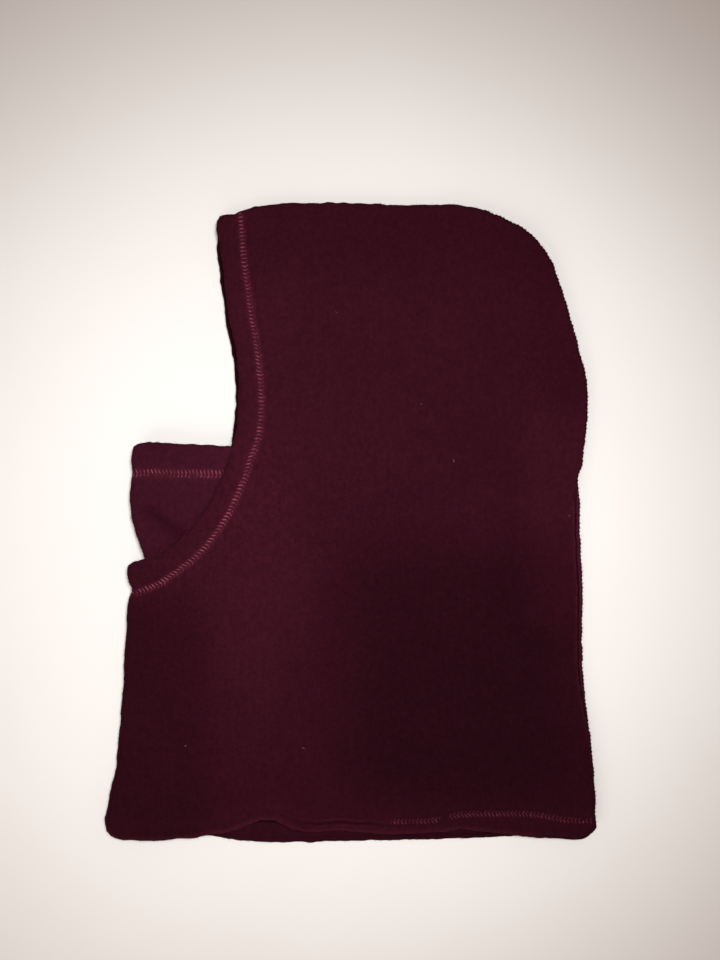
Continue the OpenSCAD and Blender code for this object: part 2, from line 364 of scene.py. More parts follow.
class Layer:
    """One layer of cloth inside a closed outline, with the edge of each stretch rolled over.

    parts are (line, kind) in order round the outline, clockwise from above. top gives the outer face's
    height at points, and edges gives each kind's width of roll and the height where it ends. A layer that
    faces down is made the same way and turned over by flip.
    """

    TURNS = 14       # steps round a rolled edge
    WAVE = 0.36      # how far the edge wanders, mm

    def __init__(self, parts, top, edges, seed, flip=False, spacing=1.7, inner_spacing=3.5, detail=None):
        lines = [resample(line, STEP / 2 if kind == "seam" else STEP)[:-1] for line, kind in parts]
        self.loop = np.vstack(lines)
        kinds = np.concatenate([[kind] * len(line) for line, (_, kind) in zip(lines, parts)])
        weights = {k: blur_loop((kinds == k).astype(float), 4) for k in sorted(set(kinds))}
        self.inward = normals(self.loop, closed=True)
        for axis in (0, 1):
            self.inward[:, axis] = blur_loop(self.inward[:, axis], 3)
        self.inward /= np.linalg.norm(self.inward, axis=1, keepdims=True)
        ripple = self.WAVE * (noise(self.loop, 5, seed) + 0.6 * noise(self.loop, 2.2, seed + 1))
        if "seam" in weights:
            run = np.cumsum(np.linalg.norm(np.diff(self.loop, axis=0, prepend=self.loop[:1]), axis=1))
            ripple = ripple + 0.2 * weights["seam"] * np.sin(2 * math.pi * run / 2.3)
        self.loop = self.loop + self.inward * ripple[:, None]
        roll = sum(w * edges[k][0] for k, w in weights.items())
        ring = untangled(self.loop + self.inward * roll[:, None])
        count = len(ring)
        spots, faces = fill(ring, spacing, spacing * 0.6, detail)
        ring_top = top(ring)
        bottom = sum(w * edges[k][1](ring_top, ring) for k, w in weights.items())
        middle, half = (ring_top + bottom) / 2, (ring_top - bottom) / 2

        def turn(angle, inset):
            wide = np.maximum(roll - inset, 0.2)
            tall = np.maximum(half - inset, 0.04)
            drop = np.maximum(inset - half, 0)
            out, up = squared(angle)
            place = ring + (self.loop - ring) * (wide * out / roll)[:, None]
            return np.column_stack([place, middle - drop + tall * up])

        angles = [math.pi * k / self.TURNS for k in range(1, self.TURNS + 1)]
        points = [np.column_stack([ring, ring_top])] + [turn(a, 0) for a in angles]
        points += [turn(a, CLOTH) for a in reversed(angles[1::2])]
        base = len(points) * count
        points.append(np.column_stack([ring, ring_top - CLOTH]))
        self.faces = []
        for first in range(0, base, count):
            self.faces += loop_rows(first, count, first + count)

        def face_of(first, spots, faces, depth):
            """The faces that fill the ring of points from index first, with their other points added."""
            total = sum(len(p) for p in points)
            points.append(np.column_stack([spots, top(spots) - depth]))
            index = [*range(first, first + count), *range(total, total + len(spots))]
            return [[index[i] for i in f] for f in faces]

        self.faces += face_of(0, spots, faces, 0)
        spots, faces = fill(ring, inner_spacing, 1.4)
        self.faces += face_of(base, spots, [f[::-1] for f in faces], CLOTH)
        self.points = np.vstack(points)
        if flip:
            self.points[:, 2] = flip - self.points[:, 2]
        self.rim = (ring, middle, half, flip)

    def fuzz(self, each, seed, longest):
        """Pile fibres that stand out from the rolled edge."""
        rng = np.random.default_rng(seed)
        ring, middle, half, flip = (np.repeat(v, each, 0) if isinstance(v, np.ndarray) else v
                                    for v in self.rim)
        loop = np.repeat(self.loop, each, 0)
        outward = -np.repeat(self.inward, each, 0)
        along = ahead_of(outward)
        count = len(loop)
        angle = rng.uniform(0.15, 0.8, count) * math.pi
        loop = loop + along * rng.uniform(-0.6, 0.6, (count, 1))
        out, up = squared(angle)
        base = np.column_stack([ring + (loop - ring) * out[:, None], middle + half * up])
        lean = rng.normal(0, 0.7, (count, 1))
        aim = np.column_stack([outward * np.sin(angle)[:, None] + along * lean, np.cos(angle)])
        aim /= np.linalg.norm(aim, axis=1, keepdims=True)
        curl = rng.normal(0, 0.7, (count, 3))
        length = rng.uniform(0.3, 1, (count, 1)) ** 1.5 * longest
        paths = [base - aim * 0.25]
        for k in range(3):
            paths.append(paths[-1] + (aim + curl * k * 0.5) * length / 3)
        paths = np.stack(paths, 1)
        if flip:
            paths[:, :, 2] = flip - paths[:, :, 2]
        paths[:, :, 2] = np.maximum(paths[:, :, 2], 0.08)
        return tubes(paths, np.broadcast_to(np.array([0.06, 0.05, 0.04, 0.015]), (count, 4)), 3)


def strip(line, start, end, low, high, cells):
    """A closed band of cloth beside a line. low and high give the heights of its two faces at points."""
    flat = np.stack([beside(line, d) for d in np.linspace(start, end, cells + 1)], 1).reshape(-1, 2)
    points = np.vstack([np.column_stack([flat, height(flat)]) for height in (high, low)])
    count = len(flat)
    grid = np.arange(count).reshape(-1, cells + 1)
    quads = np.stack([grid[:-1, :-1], grid[:-1, 1:], grid[1:, 1:], grid[1:, :-1]], 2).reshape(-1, 4)
    faces = [f for quad in quads.tolist() for f in (quad, [count + i for i in reversed(quad)])]
    rim = np.concatenate([grid[0], grid[1:, -1], grid[-1, -2::-1], grid[-2:0:-1, 0]]).tolist()
    faces += [[b, a, a + count, b + count] for a, b in zip(rim, rim[1:] + rim[:1])]
    return points, faces


def tubes(paths, radius, sides=6):
    """Closed tubes along many paths of equal length: paths is (count, points, 3), radius per point."""
    paths = np.asarray(paths, float)
    count, length, _ = paths.shape
    radius = np.broadcast_to(radius, (count, length))
    along = np.gradient(paths, axis=1)
    along /= np.linalg.norm(along, axis=2, keepdims=True) + 1e-9
    side = np.cross(along, (0.03, 0.02, 1))
    side /= np.linalg.norm(side, axis=2, keepdims=True) + 1e-9
    up = np.cross(side, along)
    angle = np.linspace(0, 2 * math.pi, sides, endpoint=False)
    ring = (side[:, :, None] * np.cos(angle)[None, None, :, None]
            + up[:, :, None] * np.sin(angle)[None, None, :, None])
    points = (paths[:, :, None] + ring * radius[:, :, None, None]).reshape(-1, 3)
    per = length * sides
    one = [list(reversed(range(sides))), list(range(per - sides, per))]
    for first in range(0, per - sides, sides):
        one += loop_rows(first, sides, first + sides)
    return points, [[base + i for i in face] for base in range(0, count * per, per) for face in one]


def joined(parts):
    """One mesh from several, each given as its points, its faces and perhaps the tone at each point."""
    points, faces, tones, base = [], [], [], 0
    for p, f, *tone in parts:
        points.append(p)
        tones.append(tone[0] if tone else np.zeros(len(p)))
        faces += [[i + base for i in face] for face in f]
        base += len(p)
    return np.vstack(points), faces, np.concatenate(tones)


# ---- materials
def nodes_of(name):
    """A new material with its node tree and its shader."""
    material = bpy.data.materials.new(name)
    material.use_nodes = True
    tree = material.node_tree
    shader = tree.nodes["Principled BSDF"]
    return material, tree, shader


def tune(node, **inputs):
    """Sets a node's inputs, each named with underscores for its spaces."""
    for key, value in inputs.items():
        node.inputs[key.replace("_", " ")].default_value = value
    return node


def add(tree, kind, **inputs):
    return tune(tree.nodes.new(kind), **inputs)


def scaled_noise(tree, scale, detail, stretch=(1, 1, 1)):
    """Noise in the piece's own coordinates; scale is in features a metre."""
    mapping = add(tree, "ShaderNodeMapping", Scale=stretch)
    place = tree.nodes.new("ShaderNodeTexCoord")
    tree.links.new(place.outputs["Object"], mapping.inputs["Vector"])
    texture = add(tree, "ShaderNodeTexNoise", Scale=scale, Detail=detail, Roughness=0.6)
    tree.links.new(mapping.outputs["Vector"], texture.inputs["Vector"])
    return texture.outputs["Fac"]


def mix_math(tree, operation, a, b):
    """The sum or product of two values or sockets."""
    node = tree.nodes.new("ShaderNodeMath")
    node.operation = operation
    for socket, value in zip(node.inputs, (a, b)):
        if isinstance(value, (int, float)):
            socket.default_value = value
        else:
            tree.links.new(value, socket)
    return node.outputs[0]


def ramp(tree, factor, stops):
    """A colour that runs through stops, each a position and a colour."""
    node = tree.nodes.new("ShaderNodeValToRGB")
    elements = node.color_ramp.elements
    elements[0].position = stops[0][0]
    elements[1].position = stops[-1][0]
    for position, _ in stops[1:-1]:
        elements.new(position)
    for element, (_, colour) in zip(elements, stops):
        element.color = (*colour, 1)
    tree.links.new(factor, node.inputs["Fac"])
    return node.outputs["Color"]


def tone_and_painted_light_of(tree):
    """The tone that is stored on the mesh: the own tone of pile or thread with painted light and shade."""
    tone_and_painted_light = tree.nodes.new("ShaderNodeAttribute")
    tone_and_painted_light.attribute_name = "tone_and_painted_light"
    return tone_and_painted_light.outputs["Fac"]


def roughen(tree, shader, relief, strength, depth):
    bump = add(tree, "ShaderNodeBump", Strength=strength, Distance=depth)
    tree.links.new(relief, bump.inputs["Height"])
    tree.links.new(bump.outputs["Normal"], shader.inputs["Normal"])


def fleece(name, colour):
    """Brushed fleece: clumped pile, fine streaks along the knit, a tone stored on the mesh that holds the
    pile's own tone and painted light and shade, and a soft sheen.
    """
    material, tree, shader = nodes_of(name)
    clumps = scaled_noise(tree, 420, 3)
    grain = scaled_noise(tree, 1700, 2)
    patches = scaled_noise(tree, 22, 2)
    streaks = scaled_noise(tree, 260, 3, (3.2, 0.5, 1))
    tone = tone_and_painted_light_of(tree)
    for pattern, share in ((patches, 0.15), (clumps, 0.42), (grain, 0.55), (streaks, 0.22)):
        tone = mix_math(tree, "ADD", tone, mix_math(tree, "MULTIPLY", pattern, share))
    stops = []
    for t in (0, 0.2, 0.4, 0.62, 0.8, 1):
        strength = math.exp(TONE_GAIN * (t - TONE_MIDDLE))
        # darker tones, mostly painted shade, are made a little greyer as well
        darker_by = max(0, TONE_MIDDLE - t)
        hue = (1, math.exp(0.6 * darker_by), math.exp(0.3 * darker_by))
        stops.append((t, tuple(c * h * strength for c, h in zip(colour, hue))))
    tree.links.new(ramp(tree, tone, stops), shader.inputs["Base Color"])
    tune(shader, Roughness=0.95, Specular_IOR_Level=0.0, Sheen_Weight=0.1, Sheen_Roughness=0.3,
         Sheen_Tint=(0.92, 0.3, 0.42, 1))
    relief = mix_math(tree, "MULTIPLY", clumps, 0.55)
    relief = mix_math(tree, "ADD", relief, mix_math(tree, "MULTIPLY", grain, 0.45))
    roughen(tree, shader, relief, 0.7, 0.0008)
    return material


def thread(name, dark, light, shine=0.1):
    """Textured polyester thread: bundled fine filaments, with a slight shine or none."""
    material, tree, shader = nodes_of(name)
    fibres = scaled_noise(tree, 2600, 3)
    lengths = scaled_noise(tree, 260, 2)
    tone = mix_math(tree, "MULTIPLY", mix_math(tree, "ADD", fibres, lengths), 0.5)
    # the stored tone adds painted shade where the thread dips into the pile or lies deep in it
    tone = mix_math(tree, "ADD", tone, tone_and_painted_light_of(tree))
    tree.links.new(ramp(tree, tone, [(0.38, dark), (0.64, light)]), shader.inputs["Base Color"])
    tune(shader, Roughness=0.6, Specular_IOR_Level=shine, Sheen_Weight=shine / 2,
         Sheen_Tint=(1, 0.4, 0.5, 1))
    roughen(tree, shader, fibres, 0.5, 0.0002)
    return material


TONE_GAIN = 1.84     # how strongly the tone of the pile changes its colour
TONE_MIDDLE = 0.69   # the tone that has the colour as given
HOOD_FLEECE = fleece("hood_fleece", (0.0262, 0.0037, 0.0084))
MASK_FLEECE = fleece("mask_fleece", (0.0262, 0.0039, 0.0090))
HOOD_CLOTH = ("hood", "hood_fleece", HOOD_FLEECE)      # body, slot and material
MASK_CLOTH = ("face_mask", "mask_fleece", MASK_FLEECE)
COVER = thread("cover_thread", (0.045, 0.004, 0.011), (0.27, 0.05, 0.083))
NEEDLE = thread("needle_thread", (0.018, 0.002, 0.005), (0.045, 0.006, 0.013), 0)
HOOD_COVER, MASK_COVER = ("hood", "cover_thread", COVER), ("face_mask", "cover_thread", COVER)
HOOD_NEEDLE, MASK_NEEDLE = ("hood", "needle_thread", NEEDLE), ("face_mask", "needle_thread", NEEDLE)
LINT = thread("lint", (0.10, 0.06, 0.065), (0.30, 0.22, 0.22))
PILE = thread("pile_ends", (0.022, 0.0026, 0.0062), (0.065, 0.009, 0.019), 0)

# ---- the hood's shape
throat, face, crown, back, neck = (curve(p) for p in (THROAT, FACE, CROWN, BACK, NECK))
outer_back, outer_face = back, face      # the lower layer shows out to these
shown = smooth((outer_face[:, 1] - 24) / 22) * smooth((170 - outer_face[:, 1]) / 16)
face = beside(face, 0.2 + 1.5 * shown)
ledge = (1.3 + 2.7 * smooth((back[:, 1] + 140) / 60)) * smooth((20 - back[:, 1]) / 8)
back = beside(back, ledge * smooth((back[:, 1] + 174) / 10) + 0.1)
face_stitch, neck_stitch, mask_stitch = (curve(p) for p in (FACE_STITCH, NECK_STITCH, MASK_STITCH))
face_stitch = beside(face_stitch, 1.1 - 0.8 * smooth((face_stitch[:, 1] - 50) / 40))
neck_stitch = beside(neck_stitch, 0.9)
near_face_stitch, near_neck_stitch, near_mask_stitch = map(Near, (face_stitch, neck_stitch, mask_stitch))
near_throat, near_face, near_crown, near_back, near_neck = map(Near, (throat, face, crown, back, neck))
hood_loop = np.vstack([c[:-1] for c in (throat, face, crown, back, neck)])
mask_front, mask_hem, mask_back = (curve(p) for p in (MASK_FRONT, MASK_HEM, MASK_BACK))
mask_loop = np.vstack([c[:-1] for c in (mask_front, mask_hem, mask_back)])


def pile_tone_and_painted_light(points):
    """Tone of the pile over the whole garment. Its broad layout is painted light and shade: darker towards
    the lower back, the throat and the crown, lighter in a band down the front and near the middle of the
    back.
    Over it lies a fine mottling of the pile's own tone, strongest over the mask.
    """
    x, y = points[:, 0], points[:, 1]
    tone = 0.0005 * y - 0.00036 * x
    tone = tone + 0.15 * hump(x, -54, 33) * hump(y, -25, 95)
    tone = tone - 0.24 * smooth((x + 30) / 55) * smooth((8 - y) / 45) * smooth((y + 178) / 45) * (
        1 - 0.6 * smooth((x - 98) / 36))
    tone = tone - 0.13 * smooth((-68 - x) / 26) * smooth((-25 - y) / 40)
    mottled = 0.35 + hump(x, -45, 40) * hump(y, 15, 75)
    tone = tone + 0.045 * mottled * noise(points, 2.7, 15)
    tone = tone + 0.13 * smooth((x - 88) / 20) * smooth((80 - y) / 35) * smooth((y + 70) / 25)
    return tone - 0.07 * smooth((y - 118) / 40)


def stitched(distance, share):
    """Pile pressed flat and tinted by thread beside a cover stitch."""
    return share * hump(distance, 0, 3.6)


def neck_wrinkles(points, to_neck):
    """Wrinkles that run along the neck, to_neck away from it, from -1 to 1."""
    return np.sin(2.1 * to_neck + 1.1 * noise(points, 9, 14))


def left_shade(points):
    """Tone of the left side: lighter along its stitches, with a painted highlight along the neck's edge
    and along its rolled back edge at the nape, and painted light and shade across the wrinkles by the neck.
    """
    x, y = points[:, 0], points[:, 1]
    to_neck = near_neck(points)
    tone = pile_tone_and_painted_light(points) + stitched(near_face_stitch(points), 0.2)
    tone = tone + stitched(near_neck_stitch(points), 0.06)
    tone = tone + 0.3 * hump(to_neck, 0.9, 1.7) * smooth((112 - x) / 20)
    nape = smooth((y + 150) / 40) * smooth((16 - y) / 10)
    tone = tone + 0.3 * nape * hump(near_back(points), 0.4, 1.3)
    return tone + 0.28 * hump(x, -3, 27) * hump(to_neck, 5, 3) * neck_wrinkles(points, to_neck)


def right_shade(points):
    """Tone of the lower side: painted shade where the upper one overhangs it, along the face opening and
    the neck, and in the ditch along the back seam, with a painted highlight on the rim that shows beyond it.
    """
    lit = np.minimum(near_face(points) / 5, 1)
    under = smooth((near_neck(points) - 1) / 6)
    edge = near_back(points)
    return (pile_tone_and_painted_light(points) - 0.5 * (1 - lit) * smooth((points[:, 1] - 20) / 20) - 0.16 * (1 - under)
            + 0.34 * smooth((edge - 1.0) / 1.2) * (edge < 6) - 0.3 * hump(edge, 0, 0.9))


def turned(points, degrees):
    a = math.radians(degrees)
    spin = np.array([[math.cos(a), -math.sin(a)], [math.sin(a), math.cos(a)]])
    return (points - TACK) @ spin.T + TACK


def mask_height(points):
    """Top of the mask: full near the tacks, thinner at its far lower edge."""
    return MASK_TOP - 0.1 - MASK_THIN * smooth((away(points, TACK) - MASK_FULL_R) / 12)


def edge_height(points):
    """Height of the hood where a fold or the seam rounds over."""
    return FOLD_H + (THROAT_H - FOLD_H) * hump(away(points, THROAT_TOP), 0, 62)


def around(h):
    """Sum of the four neighbours of each cell inside a grid's border."""
    return h[2:, 1:-1] + h[:-2, 1:-1] + h[1:-1, 2:] + h[1:-1, :-2]


class Settled:
    """The left side's outer face: a sheet that sags over the mask and the hems, held at the closed edges."""

    CELL = 3.0       # mm
    MARGIN = 9       # mm that it's worked out past the open edges
    SAG = 0.0028     # mm a round
    ROUNDS = 5000

    def __init__(self):
        low = hood_loop.min(0) - self.MARGIN
        high = hood_loop.max(0) + self.MARGIN
        self.low = low
        x = np.arange(low[0], high[0], self.CELL)
        y = np.arange(low[1], high[1], self.CELL)
        gx, gy = np.meshgrid(x, y, indexing="ij")
        spots = np.column_stack([gx.ravel(), gy.ravel()])
        closed = np.minimum(np.minimum(near_throat(spots), near_crown(spots)), near_back(spots))
        opened = np.minimum(near_face(spots), near_neck(spots))
        in_hood = inside(spots, hood_loop)
        held = (~in_hood & (closed < opened)) | (closed < ROLL)
        domain = in_hood | (opened < self.MARGIN) | held
        hem = (CLOTH + 0.4) * ((near_face(spots) < HEM_W + 1) & in_hood)
        least = np.zeros(len(spots))
        for degrees in np.linspace(0, SWING, 6):
            under = inside(spots, turned(mask_loop, degrees))
            over = mask_height(turned(spots, -degrees)) + GAP + CLOTH + hem
            least = np.maximum(least, np.where(under, over, 0))
        ease = smooth((closed - ROLL) / 11)
        edges = edge_height(spots)
        least = np.maximum(edges * (1 - ease) + least * ease, 0)
        puffed = (AIR_H - FOLD_H) * smooth((closed - ROLL) / 30) * smooth(opened / 30)
        least = np.maximum(least, edges + puffed)
        held, domain, least, edges = (v.reshape(gx.shape) for v in (held, domain, least, edges))
        heights = np.maximum(edges, least)
        count = np.maximum(around(np.pad(domain.astype(float), 1)), 1)
        for _ in range(self.ROUNDS):
            average = around(np.pad(np.where(domain, heights, 0), 1)) / count
            heights = np.where(held, edges, np.maximum(average - self.SAG, least))
            heights = np.where(domain, heights, 0)
        heights = np.where(domain, heights, average)
        for _ in range(5):
            heights = 0.4 * heights + 0.15 * around(np.pad(heights, 1, mode="edge"))
        self.heights = heights

    def __call__(self, points):
        q = (points - self.low) / self.CELL
        cell = np.clip(np.floor(q).astype(int), 0, np.array(self.heights.shape) - 2)
        return between(self.heights, cell, cell + 1, np.clip(q - cell, 0, 1))


settled = Settled()


def trough(distance, width, depth):
    """A groove with soft sides along a line, by the distance to it."""
    side = 1.3
    return -depth * (1 - smooth((distance - width / 2 + side) / (2 * side)))


def left_top(points):
    """Height of the left side's outer face."""
    x = points[:, 0]
    to_neck, to_face_stitch, to_neck_stitch = (
        near(points) for near in (near_neck, near_face_stitch, near_neck_stitch))
    z = settled(points) + trough(to_face_stitch, STITCH_W + 0.8, 1.05) + 0.5 * hump(to_face_stitch, 7.2, 3.2)
    share = 0.35 + 0.65 * smooth((x - 16) / 14)
    z = z + trough(to_neck_stitch, NECK_STITCH_W, 0.55) * share + 0.2 * hump(to_neck_stitch, 4.4, 2)
    z = z + 0.5 * neck_wrinkles(points, to_neck) * hump(x, -3, 25) * hump(to_neck, 4.6, 3)
    z = z + 2.6 * hump(x, -47, 17) * hump(to_neck, 0, 15)
    z = z + 0.45 * hump(away(points, TACK), 0, 9)
    z = z + 0.3 * noise(points, 70, 11) + 0.16 * noise(points, 27, 12)
    return z + 0.22 * noise(points, 6.5, 13) * hump(near_back(points), 0, 8)


def rolled(points, top, edges):
    """Height of a face with its rolled edges, each given as (distance to it, roll, where it ends)."""
    z = top(points)
    level = z
    for near, roll, low in edges:
        out = np.clip(1 - near(points) / roll, 0, 1)
        half = (level - low) / 2
        z = np.minimum(z, low + half + half * (1 - out**SQUARE) ** (1 / SQUARE))
    return z


def left_surface(points):
    """The left side's outer face with its rolled folds and seam, for what lies on it."""
    return rolled(points, left_top, [(near_throat, ROLL, TABLE), (near_crown, ROLL, TABLE),
                                     (near_back, SEAM_ROLL, SEAM_Z)])


def ends_at(z):
    """A roll that ends at one height."""
    return lambda ring_top, ring: z


def ends_under(depth):
    """A roll that ends a depth under the layer's outer face."""
    return lambda ring_top, ring: ring_top - depth


def ends_at_seam(ring_top, ring):
    """The roll at the back ends at the seam, which comes down to the table at the crown."""
    return TABLE + (SEAM_Z - TABLE) * smooth(away(ring, CROWN_BACK) / SEAM_EASE)


def left_detail(points):
    """Where the left side's mesh is finer: at its wrinkled neck and under the stitches."""
    hem = (near_neck(points) < 9) & (points[:, 0] > -70) & (points[:, 0] < 45)
    return hem | (near_face_stitch(points) < 5.5) | ((near_neck_stitch(points) < 3.4) & (points[:, 0] > 15))


left = Layer([(throat, "fold"), (face, "hem"), (crown, "fold"), (back, "seam"), (neck, "hem")],
             left_top, {"fold": (ROLL, ends_at(TABLE)), "hem": (HEM_ROLL, ends_under(2 * CLOTH + 0.2)),
                        "seam": (SEAM_ROLL, ends_at_seam)}, seed=3, detail=left_detail)
left_side = make("hood_left_side", left.points, left.faces, *HOOD_CLOTH, ["left_side_panel"],
                 left_shade(left.points))

# ---- the right side, under the left one
RIGHT_FLIP = 4.4     # the right side is worked out face up, then turned over about half this height
RIGHT_LOWEST = 0.12  # height of its lower face once it's turned over
right_face = beside(outer_face, 1.6 - 2.5 * shown)
right_neck = curve(NECK_RIGHT)
right_throat = beside(throat, FOLD_INSET)
right_crown = beside(crown, FOLD_INSET)
right_back = beside(outer_back, FOLD_INSET * (1 - smooth((away(outer_back, CROWN_BACK) - 2) / SEAM_EASE)))
right = Layer([(right_throat, "raw"), (part(right_face, 7.5, 5.2), "hem"), (right_crown, "raw"),
               (part(right_back, 2.5, 0), "seam"), (part(right_neck, 0, 5), "hem")],
              constant(RIGHT_FLIP - RIGHT_LOWEST),
              {"raw": (RAW_ROLL, ends_under(CLOTH)), "hem": (HEM_ROLL, ends_under(2 * CLOTH)),
               "seam": (2.6, ends_under(1.8 * CLOTH))}, seed=5, flip=RIGHT_FLIP, spacing=2.4)
right_side = make("hood_right_side", right.points, right.faces, *HOOD_CLOTH, ["right_side_panel"],
                  right_shade(right.points))


# ---- turned hems and seam allowances
def under_left(points):
    """Underside of the hems turned in under the left side; their stitches pull it up into a groove."""
    groove = trough(near_face_stitch(points), STITCH_W, 0.85)
    groove = groove + trough(near_neck_stitch(points), NECK_STITCH_W, 0.5)
    return left_top(points) - 2 * CLOTH - LINING_GAP - groove


def hem_left_top(points):
    """Upper face of those hems."""
    return left_top(points) - CLOTH - LINING_GAP


def hood_strip(name, line, start, end, low, high, node, cells=10):
    """A band of the hood's cloth from start to end millimetres beside a line."""
    points, faces = strip(line, start, end, low, high, cells)
    return make(name, points, faces, *HOOD_CLOTH, [node], pile_tone_and_painted_light(points))


def mask_strip(name, low, high, node):
    """The mask's turned hem, on one of its halves."""
    points, faces = strip(part(mask_hem, 6, 2), 1.6, HEM_W, low, high, 10)
    return make(name, points, faces, *MASK_CLOTH, [node], pile_tone_and_painted_light(points))


face_hem_left = hood_strip("face_hem_left_turning", part(face, 6, 5), HEM_INSET, HEM_W,
                           under_left, hem_left_top, "face_hem_left")
face_hem_right = hood_strip("face_hem_right_turning", part(right_face, 7, 6), HEM_INSET, HEM_W - 1,
                            constant(HEM_LOW), constant(HEM_HIGH), "face_hem_right")
neck_hem_left = hood_strip("neck_hem_left_turning", part(neck, 6, 6), HEM_INSET, NECK_HEM_W,
                           under_left, hem_left_top, "neck_hem_left")
neck_hem_right = hood_strip("neck_hem_right_turning", part(right_neck, 5, 6), HEM_INSET, NECK_HEM_W - 1,
                            constant(HEM_LOW), constant(HEM_HIGH), "neck_hem_right")
seam_line = part(back, 5, 20)
seam_plies = [constant(z) for z in SEAM_PLIES]
allowance_right = hood_strip("seam_allowance_right", seam_line, 3.0, 9.2, seam_plies[0], seam_plies[1],
                             "back_seam_allowance_right", cells=4)
allowance_left = hood_strip("seam_allowance_left", seam_line, 3.0, 9.0, seam_plies[2], seam_plies[3],
                            "back_seam_allowance_left", cells=4)

# ---- the mask
MASK_PLY = 2.05      # thickness of the mask's cloth
MASK_FRONT_ROLL = 4.2
MASK_LOWEST = MASK_Z + 0.08
MASK_FLIP = 2 * MASK_Z + 4.2    # turns its right half over, as RIGHT_FLIP does the right side
near_mask_hem, near_mask_front = Near(mask_hem), Near(mask_front)


def creased(points):
    """A crease that runs down across the mask from its front fold."""
    across = points[:, :2] @ np.array([0.62, 0.785]) + 65.7
    along = points[:, :2] @ np.array([0.785, -0.62])
    return hump(across, 0, 3.4) * smooth((along + 101) / 10) * smooth((-60 - along) / 12)


def mask_top(points):
    """Height of the mask's upper face: full at its hem, a little lower over the single plies."""
    to_hem = near_mask_hem(points)
    to_front = near_mask_front(points)
    z = mask_height(points)
    z = z - 1.5 * smooth((to_hem - HEM_W + 2) / 7) * smooth((to_front - 3) / 9)
    z = z + trough(near_mask_stitch(points), STITCH_W + 1, 0.75)
    z = z - 0.9 * creased(points) * smooth((to_hem - 22) / 9)
    return np.minimum(z + 0.16 * noise(points, 19, 31), MASK_TOP - 0.05)


def under_mask(points):
    """Lower face of the hem turned in under the mask's left half."""
    return mask_top(points) - 2 * MASK_PLY - 0.05


def mask_surface(points):
    return rolled(points, mask_top, [(near_mask_front, MASK_FRONT_ROLL, MASK_LOWEST)])


def mask_shade(points):
    # painted shade darkens the crease across the mask
    return pile_tone_and_painted_light(points) + stitched(near_mask_stitch(points), 0.16) - 0.2 * creased(points) + 0.07


mask_raw = (RAW_ROLL, ends_under(MASK_PLY))
left_mask = Layer([(mask_front, "fold"), (mask_hem, "hem"), (mask_back, "raw")], mask_top,
                  {"fold": (MASK_FRONT_ROLL, ends_at(MASK_LOWEST)), "hem": (2.3, ends_under(2 * MASK_PLY)),
                   "raw": mask_raw}, seed=7, spacing=1.1, inner_spacing=2.5)
mask_left = make("mask_left_half", left_mask.points, left_mask.faces, *MASK_CLOTH, ["mask_panel"],
                 mask_shade(left_mask.points))
inner_front = beside(mask_front, 3.9 - 1.9 * smooth((mask_front[:, 1] - 33) / 6))
right_mask = Layer([(part(inner_front, 0, 3), "raw"), (part(mask_hem, 2.8, 0), "hem"), (mask_back, "raw")],
                   constant(MASK_FLIP - MASK_LOWEST),
                   {"raw": mask_raw, "hem": (2.0, ends_under(2 * MASK_PLY))}, seed=8, flip=MASK_FLIP,
                   spacing=2.2, inner_spacing=3)
mask_right = make("mask_right_half", right_mask.points, right_mask.faces, *MASK_CLOTH, ["mask_panel"],
                  pile_tone_and_painted_light(right_mask.points))
mask_hem_left = mask_strip("mask_hem_left_turning", under_mask, lambda p: under_mask(p) + HEM_HIGH - HEM_LOW,
                           "mask_hem_left")
mask_hem_right = mask_strip("mask_hem_right_turning", constant(MASK_Z + HEM_LOW), constant(MASK_Z + HEM_HIGH),
                            "mask_hem_right")


# ---- threads
THIN_SIDES = 5       # sides of the thinner threads


def frame_along(line, step):
    """Places, directions and right-hand normals of the stitches on a line."""
    spots = resample(line, step)
    side = normals(spots)
    return spots, ahead_of(side), side


def on_face(face, plan, rise):
    """Paths over a plan, at a rise above a face."""
    z = face(plan.reshape(-1, 2)).reshape(len(plan), -1) + rise
    return np.concatenate([plan, z[..., None]], 2)


